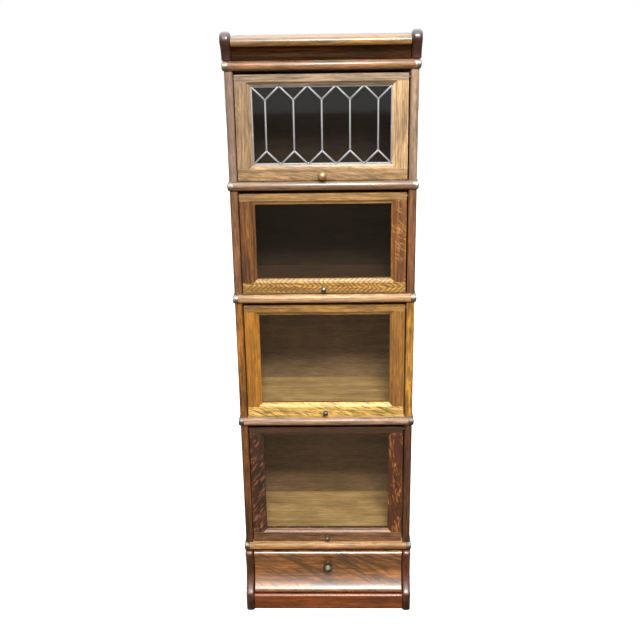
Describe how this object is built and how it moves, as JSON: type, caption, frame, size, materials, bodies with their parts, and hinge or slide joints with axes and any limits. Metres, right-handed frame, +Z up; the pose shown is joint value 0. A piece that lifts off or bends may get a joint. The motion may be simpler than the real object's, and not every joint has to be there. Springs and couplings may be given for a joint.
{
  "type": "barrister bookcase",
  "caption": "Tall narrow sectional oak bookcase: stacked glazed sections with lift-and-slide doors, the top leaded, over a scrolled base with a drawer.",
  "frame": {"origin": "on the floor under the middle of the overall footprint", "axes": "+X to the right as seen from the front, +Y to the back, +Z up; the doors and the drawer face -Y"},
  "size_m": [0.465, 0.326, 1.5555],
  "materials": {
    "oak_tan": "old quarter-sawn oak, pinkish tan, shellac gloss",
    "oak_russet": "old quarter-sawn oak, russet brown with ray flecks, shellac gloss",
    "oak_golden": "old quarter-sawn oak, golden brown with zigzag figure, shellac gloss",
    "oak_dark": "old quarter-sawn oak, dark red-brown with ray flecks, shellac gloss",
    "oak_base": "old oak, red-brown with orange figure, glossy shellac",
    "oak_crown": "old oak, olive brown, darkened gloss",
    "inner_wood": "unfilled inner boards, dull and aged",
    "clear_glass": "old clear sheet glass, slightly grey",
    "zinc_came": "silvery came with soldered joints, lightly oxidised",
    "steel_band": "aged metal, worn bright on its round",
    "brass_knob": "dull worn brass",
    "bronze_knob": "dark aged brass with a grey-green tarnish",
    "carriage_steel": "plain drawn steel"
  },
  "bodies": {
    "case": {"back_panels": "inner_wood", "base_deck": "inner_wood", "base_plinth": "oak_base", "base_side_left": "oak_base", "base_side_right": "oak_base", "crown_cove": "oak_crown", "crown_end_left": "oak_crown", "crown_end_right": "oak_crown", "crown_front_rail": "oak_crown", "crown_top_board": "oak_crown", "door_guides": "inner_wood", "drawer_runners": "inner_wood", "joint_bands": "steel_band", "section1_front_rail": "oak_tan", "section1_shelf": "oak_tan", "section1_side_left": "oak_tan", "section1_side_right": "oak_tan", "section2_front_rail": "oak_russet", "section2_shelf": "oak_russet", "section2_side_left": "oak_russet", "section2_side_right": "oak_russet", "section3_front_rail": "oak_golden", "section3_shelf": "oak_golden", "section3_side_left": "oak_golden", "section3_side_right": "oak_golden", "section4_front_rail": "oak_dark", "section4_shelf": "oak_dark", "section4_side_left": "oak_dark", "section4_side_right": "oak_dark", "top_cross_rails": "inner_wood"},
    "door1_carriage": {"door1_pivot_carriage": "carriage_steel"},
    "door1": {"door1_glass": "clear_glass", "door1_glass_stops": "oak_tan", "door1_knob": "brass_knob", "door1_lead_came": "zinc_came", "door1_rails": "oak_tan", "door1_stiles": "oak_tan"},
    "door2_carriage": {"door2_pivot_carriage": "carriage_steel"},
    "door2": {"door2_glass": "clear_glass", "door2_glass_stops": "oak_russet", "door2_knob": "bronze_knob", "door2_rails": "oak_russet", "door2_stiles": "oak_russet"},
    "door3_carriage": {"door3_pivot_carriage": "carriage_steel"},
    "door3": {"door3_glass": "clear_glass", "door3_glass_stops": "oak_golden", "door3_knob": "bronze_knob", "door3_rails": "oak_golden", "door3_stiles": "oak_golden"},
    "door4_carriage": {"door4_pivot_carriage": "carriage_steel"},
    "door4": {"door4_glass": "clear_glass", "door4_glass_stops": "oak_dark", "door4_knob": "bronze_knob", "door4_rails": "oak_dark", "door4_stiles": "oak_dark"},
    "drawer": {"drawer_front": "oak_base", "drawer_sides": "inner_wood", "drawer_bottom": "inner_wood", "drawer_back": "inner_wood", "drawer_knob": "bronze_knob"}
  },
  "joints": [
    {"name": "door1_slide", "type": "slide", "parent": "case", "child": "door1_carriage", "axis": [0, 1, 0], "range_m": [0, 0.1908]},
    {"name": "door1_swing", "type": "hinge", "parent": "door1_carriage", "child": "door1", "pos_m": [0, -0.117, 1.45], "axis": [-1, 0, 0], "range_deg": [0, 90]},
    {"name": "door2_slide", "type": "slide", "parent": "case", "child": "door2_carriage", "axis": [0, 1, 0], "range_m": [0, 0.1995]},
    {"name": "door2_swing", "type": "hinge", "parent": "door2_carriage", "child": "door2", "pos_m": [0, -0.117, 1.169], "axis": [-1, 0, 0], "range_deg": [0, 90]},
    {"name": "door3_slide", "type": "slide", "parent": "case", "child": "door3_carriage", "axis": [0, 1, 0], "range_m": [0, 0.2545]},
    {"name": "door3_swing", "type": "hinge", "parent": "door3_carriage", "child": "door3", "pos_m": [0, -0.117, 0.883], "axis": [-1, 0, 0], "range_deg": [0, 90]},
    {"name": "door4_slide", "type": "slide", "parent": "case", "child": "door4_carriage", "axis": [0, 1, 0], "range_m": [0, 0.257]},
    {"name": "door4_swing", "type": "hinge", "parent": "door4_carriage", "child": "door4", "pos_m": [0, -0.117, 0.542], "axis": [-1, 0, 0], "range_deg": [0, 90]},
    {"name": "drawer_slide", "type": "slide", "parent": "case", "child": "drawer", "axis": [0, -1, 0], "range_m": [0, 0.2]}
  ]
}
